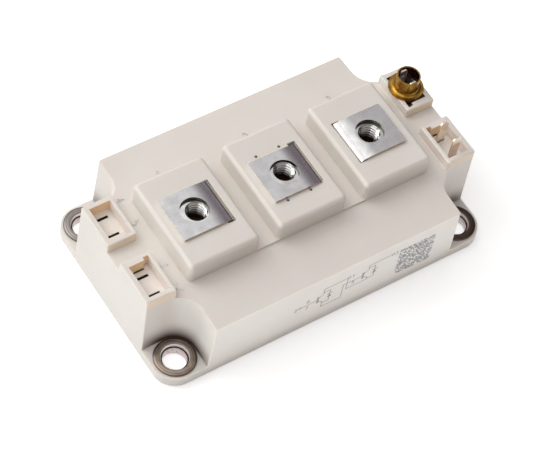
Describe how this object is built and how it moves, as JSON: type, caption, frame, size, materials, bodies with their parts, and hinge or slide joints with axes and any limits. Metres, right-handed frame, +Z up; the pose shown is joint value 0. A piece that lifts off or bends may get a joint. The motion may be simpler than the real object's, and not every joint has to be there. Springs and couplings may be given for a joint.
{
  "type": "power transistor module",
  "caption": "Flat off-white power module with a row of screw terminals, corner mounting ears with metal bushes, sockets for control tabs and a shorting eyelet.",
  "frame": {"origin": "middle of the base plate's underside, which rests on the heat sink", "axes": "+X along the row of terminals, from terminal 1 to terminal 3, +Y from the front wall to the rear wall, +Z up, away from the heat sink"},
  "size_m": [0.1067, 0.0614, 0.0312],
  "materials": {
    "housing_plastic": "satin glass-filled moulding, off-white",
    "plated_copper": "nickel-plated copper, fine ground",
    "seal_adhesive": "grey silicone adhesive",
    "eyelet_brass": "bright drawn brass",
    "clear_gel": "soft clear silicone",
    "bush_steel": "plated, dull",
    "nut_steel": "zinc plated",
    "plated_terminal": "nickel-plated copper, satin",
    "tinned_tab": "tinned, satin",
    "white_ceramic": "fired alumina",
    "bare_copper": "bright copper",
    "chip_silicon": "polished die",
    "bond_aluminium": "drawn wire"
  },
  "bodies": {
    "root": {"adhesive_seal": "seal_adhesive", "base_plate": "plated_copper", "bond_wires_left": "bond_aluminium", "bond_wires_right": "bond_aluminium", "bottom_copper_left": "bare_copper", "bottom_copper_right": "bare_copper", "ceramic_plate_left": "white_ceramic", "ceramic_plate_right": "white_ceramic", "control_pads": "bare_copper", "control_tab_front_inner": "tinned_tab", "control_tab_front_outer": "tinned_tab", "control_tab_rear_inner": "tinned_tab", "control_tab_rear_outer": "tinned_tab", "copper_track_left_front": "bare_copper", "copper_track_left_middle": "bare_copper", "copper_track_left_rear": "bare_copper", "copper_track_right_front": "bare_copper", "copper_track_right_inner": "bare_copper", "copper_track_right_outer": "bare_copper", "copper_track_right_rear": "bare_copper", "diode_chip_left_front": "chip_silicon", "diode_chip_left_rear": "chip_silicon", "diode_chip_right_front": "chip_silicon", "diode_chip_right_rear": "chip_silicon", "housing": "housing_plastic", "main_terminal_1": "plated_terminal", "main_terminal_2": "plated_terminal", "main_terminal_3": "plated_terminal", "mounting_bush_front_left": "bush_steel", "mounting_bush_front_right": "bush_steel", "mounting_bush_rear_left": "bush_steel", "mounting_bush_rear_right": "bush_steel", "shorting_eyelet": "eyelet_brass", "silicone_gel": "clear_gel", "terminal_nut_1": "nut_steel", "terminal_nut_2": "nut_steel", "terminal_nut_3": "nut_steel", "transistor_chip_left_front": "chip_silicon", "transistor_chip_left_rear": "chip_silicon", "transistor_chip_right_front": "chip_silicon", "transistor_chip_right_rear": "chip_silicon"}
  },
  "joints": []
}
